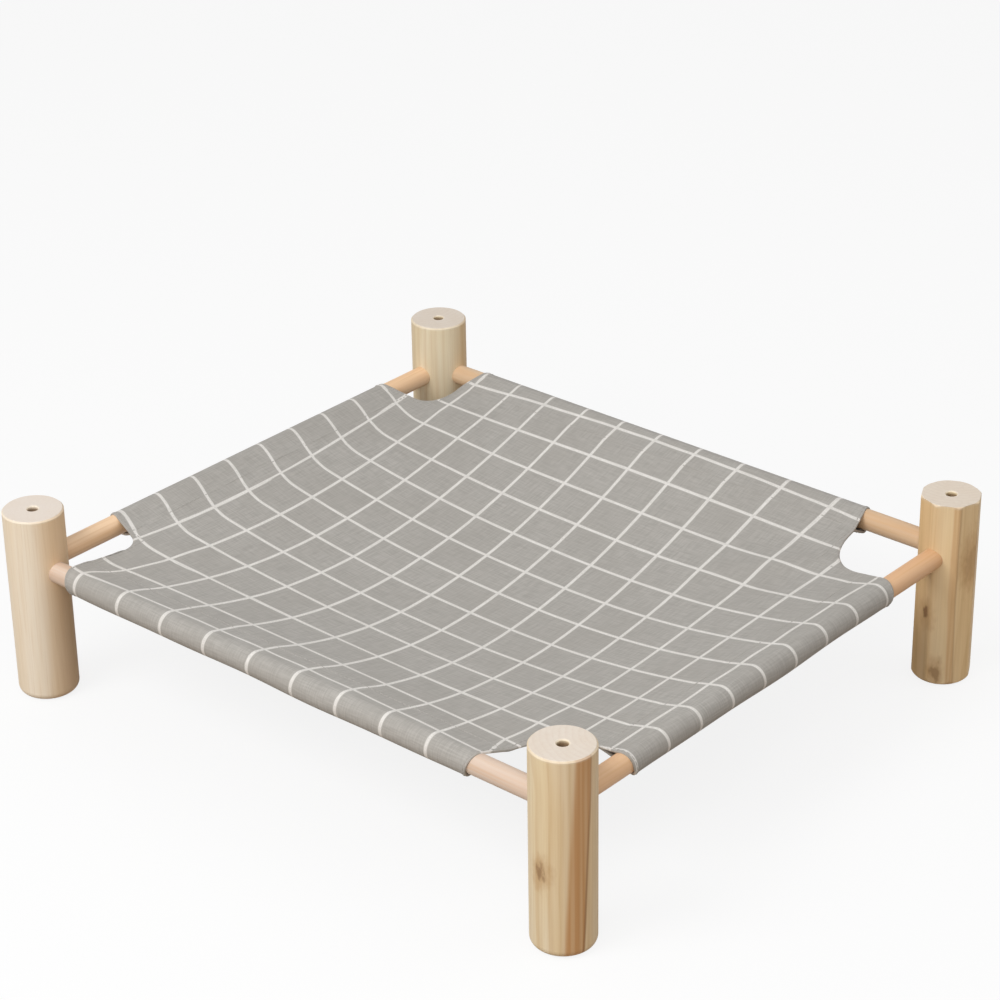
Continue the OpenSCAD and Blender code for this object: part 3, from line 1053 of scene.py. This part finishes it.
def make_sling(material):
    """The whole canvas as one sheet, thicker along its hems."""
    grid = SlingGrid()
    sling = mesh_object("canvas_sling", grid.points, grid.faces(), material)
    places = np.array(grid.flat)
    for name, (x, y) in (("flat", places.T), ("woven", woven(*places.T))):
        attribute = sling.data.attributes.new(name, "FLOAT_VECTOR", "POINT")
        attribute.data.foreach_set("vector", np.stack([x, y, 0 * x], axis=-1).ravel())
    hem = sling.vertex_groups.new(name="hem")
    for vertex, thick in enumerate(grid.thick):
        hem.add([vertex], (1 + thick) / 2, "REPLACE")
    solid = sling.modifiers.new("thickness", "SOLIDIFY")
    solid.thickness = 2 * CANVAS_T
    solid.offset = -1
    solid.vertex_group = "hem"
    rounding = sling.modifiers.new("rounding", "SUBSURF")
    rounding.levels = 1
    rounding.render_levels = 1
    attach(sling, "root")
    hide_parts("sling_panel", *["sleeve_" + side for side in SIDES])
    return sling, grid


STITCH_PITCH = 4.2 * MM
STITCH_LENGTH = 3.2 * MM
STITCH_RADIUS = 0.3 * MM
STITCH_SIDES = 6
STITCH_PROFILE = (
    (0.0, 0.35, -0.6),
    (0.12, 0.85, 0.0),
    (0.3, 1.0, 0.4),
    (0.7, 1.0, 0.4),
    (0.88, 0.85, 0.0),
    (1.0, 0.35, -0.6),
)
SEAM_STITCH_PATH = 3 * MM


def stitch(points, faces, start, end, normal):
    """Adds one stitch: a short thread that dives into the cloth at both ends.

    The profile's rows are (share of the length, share of the radius, rise in radii).
    """
    along = (end - start) / np.linalg.norm(end - start)
    aside = np.cross(normal, along)
    first = len(points)
    for share, width, rise in STITCH_PROFILE:
        middle = start + (end - start) * share + normal * rise * STITCH_RADIUS
        for k in range(STITCH_SIDES):
            angle = 2 * math.pi * k / STITCH_SIDES
            spoke = aside * math.cos(angle) + normal * math.sin(angle)
            points.append(middle + width * STITCH_RADIUS * spoke)
    for ring in range(len(STITCH_PROFILE) - 1):
        a = first + ring * STITCH_SIDES
        b = a + STITCH_SIDES
        for k in range(STITCH_SIDES):
            m = (k + 1) % STITCH_SIDES
            faces.append([a + k, b + k, b + m, a + m])
    faces.append([first + k for k in range(STITCH_SIDES)])
    last = first + (len(STITCH_PROFILE) - 1) * STITCH_SIDES
    faces.append([last + k for k in reversed(range(STITCH_SIDES))])


def stitch_row(name, path, normals, material):
    """A row of even stitches along a path of points with normals."""
    path, normals = np.array(path), np.array(normals)
    steps = np.linalg.norm(np.diff(path, axis=0), axis=1)
    run = np.concatenate([[0.0], np.cumsum(steps)])

    def at(length, values):
        return np.array([np.interp(length, run, values[:, axis]) for axis in range(3)])

    count = int(run[-1] / STITCH_PITCH) - 1
    first = (run[-1] - count * STITCH_PITCH) / 2
    points, faces = [], []
    for k in range(count):
        start = first + k * STITCH_PITCH
        normal = at(start + STITCH_LENGTH / 2, normals)
        normal /= np.linalg.norm(normal)
        stitch(points, faces, at(start, path), at(start + STITCH_LENGTH, path), normal)
    row = mesh_object(name, points, faces, material)
    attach(row, "root")
    return row


def make_stitches(grid, sling, material):
    """The seams that close the sleeves, and the hems of the four cut-outs."""
    rows = []
    for side in SIDES:
        steps = np.arange(*SEAM_ENDS[side], STITCH_PITCH / 2)
        places = [on_sleeve(side, along, SEAM_STITCH_PATH) for along in steps]
        row = stitch_row("seam_stitches_" + side, *zip(*places), material)
        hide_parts("seam_thread_" + side)
        rows.append(row)
    for end, side in CUT_OUTS:
        vertices = [sling.data.vertices[k] for k in grid.hem_chain(end, side)]
        path = [np.array(v.co) for v in vertices]
        normals = [np.array(v.normal) for v in vertices]
        rows.append(stitch_row(f"hem_stitches_{end}_{side}", path, normals, material))
    return rows


# Each leg's wood, as pine_material takes it, and each rail's pale and deep tone
# A leg's hearts lie on its sides turned from the light, where they also paint warm shade
LEG_CUTS = {
    "leg_front_right": dict(
        pith=(18 * MM, 30 * MM), seed=3.1,
        rings=0.25,
        hearts_and_shade=((-8, 0.3),),
        bands=((-22, 8 * MM, 0.8, 0.05),),
        knots=((-92, 64 * MM, 5 * MM, 8 * MM, 0.6),),
    ),
    "leg_back_right": dict(
        pith=(-12 * MM, 26 * MM), seed=8.4,
        rings=0.25,
        sapwood=YELLOW_SAPWOOD,
        hearts_and_shade=((-130, 0.6), (10, 0.4)),
        bands=((-41, 3.5 * MM, 0.4, 0.0),),
        knots=(
            (-97, 58 * MM, 4 * MM, 8 * MM, 0.8),
            (-70, 10 * MM, 4 * MM, 8 * MM, 0.5),
            (-6, 104 * MM, 6 * MM, 14 * MM, 0.2),
        ),
    ),
    "leg_front_left": dict(
        pith=(30 * MM, 26 * MM), seed=12.7,
        rings=0.04,
        sapwood=PALE_SAPWOOD,
        hearts_and_shade=((35, 0.6),),
    ),
    "leg_back_left": dict(
        pith=(-30 * MM, 12 * MM), seed=17.3,
        hearts_and_shade=((60, 0.5),),
        knots=((110, 90 * MM, 3 * MM, 6 * MM, 0.6),),
    ),
}
RAIL_TONES = {
    "front": (linear(223, 203, 187), linear(214, 187, 165)),
    "right": (linear(240, 198, 157), linear(228, 180, 136)),
    "back": (linear(228, 198, 164), linear(217, 181, 144)),
    # The left rail's tones are lighter than its wood: painted light, lifting it out of the left leg's shadow
    "left": (linear(252, 218, 182), linear(243, 202, 160)),
}
RAIL_SEED_STEP = 0.37


def dress(node, material):
    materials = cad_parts[node].data.materials
    materials.clear()
    materials.append(material)


def dress_wood():
    """Gives each leg and rail its own cut of wood."""
    for node, cut in LEG_CUTS.items():
        dress(node, pine_material(node, **cut))
    for number, (side, tones) in enumerate(RAIL_TONES.items()):
        dress("rail_" + side, dowel_material(side, RAIL_SEED_STEP * number, *tones))


# Floor, light and camera

# The floor's half width, its colours for bounced light and for the camera, and its glow for the camera
FLOOR_HALF = 6.0
FLOOR_BOUNCE = (0.32, 0.25, 0.18, 1)
FLOOR_SEEN = (0.9, 0.9, 0.9, 1)
FLOOR_GLOW = 0.85


def make_floor():
    """A pale floor, which the camera sees nearly white."""
    corners = [(x * FLOOR_HALF, y * FLOOR_HALF, 0) for x, y in ((-1, -1), (1, -1), (1, 1), (-1, 1))]
    n = new_material("floor_white")
    seen = n.seen()
    n.set(Base_Color=n.mix(seen, FLOOR_BOUNCE, FLOOR_SEEN), Roughness=0.9, Specular_IOR_Level=0.0)
    glow = n.node("ShaderNodeEmission")
    both = n.node("ShaderNodeMixShader")
    n.put(both.inputs[0], n.times(seen, FLOOR_GLOW))
    n.put(both.inputs[1], n.shader.outputs[0])
    n.put(both.inputs[2], glow.outputs[0])
    n.put(n.tree.nodes["Material Output"].inputs["Surface"], both.outputs[0])
    floor = mesh_object("floor", corners, [[0, 1, 2, 3]], n.owner)


# The strength of the world's light, and the level that the camera sees
WORLD_STRENGTH = 0.45
WORLD_SEEN = 0.91


def make_world():
    """A soft light from all round, which the camera sees as a pale backdrop."""
    n = Nodes(bpy.data.worlds.new("studio"), "Background")
    level = n.node("ShaderNodeMapRange")
    level.inputs["To Min"].default_value = WORLD_STRENGTH
    level.inputs["To Max"].default_value = WORLD_SEEN
    n.put(level.inputs["Value"], n.seen())
    n.set(Color=(1, 1, 1, 1), Strength=level.outputs["Result"])
    bpy.context.scene.world = n.owner


# Each light: its name, place, diameter and power
LIGHTS = (
    ("key", (-0.4, -1.85, 2.05), 1.5, 34),
    ("fill", (1.0, -1.5, 1.2), 1.4, 10),
    ("back", (1.4, 0.9, 2.0), 1.6, 6),
)
LIGHT_TARGET = (0, 0, 0.08)


def make_lights():
    for name, place, size, power in LIGHTS:
        light = bpy.data.lights.new(name, "AREA")
        light.shape = "DISK"
        light.size = size
        light.energy = power
        made = bpy.data.objects.new(name, light)
        made.location = place
        made.rotation_mode = "QUATERNION"
        made.rotation_quaternion = (Vector(LIGHT_TARGET) - Vector(place)).to_track_quat("-Z", "Y")
        bpy.context.scene.collection.objects.link(made)


# The camera's angles are in degrees, its lens and sensor in millimetres
CAMERA_AZIMUTH = 41.31
CAMERA_ELEVATION = 27.35
CAMERA_ROLL = -0.91
CAMERA_PLACE = (1.2569, -1.4214, 1.1322)
CAMERA_LENS = 106.14
CAMERA_SENSOR = 36.0


def make_camera():
    camera = bpy.data.cameras.new("camera")
    camera.lens = CAMERA_LENS
    camera.sensor_width = CAMERA_SENSOR
    made = bpy.data.objects.new("camera", camera)
    stand = Matrix.Translation(CAMERA_PLACE)
    for degrees, axis in ((CAMERA_AZIMUTH, "Z"), (90 - CAMERA_ELEVATION, "X"), (CAMERA_ROLL, "Z")):
        stand @= Matrix.Rotation(math.radians(degrees), 4, axis)
    made.matrix_world = stand
    bpy.context.scene.collection.objects.link(made)
    bpy.context.scene.camera = made


# The scene

bpy.context.scene.view_settings.view_transform = "Standard"
make_camera()
make_world()
make_floor()
make_lights()

dress_wood()
thread = thread_material()
sling, sling_grid = make_sling(canvas_material())
stitches = make_stitches(sling_grid, sling, thread)
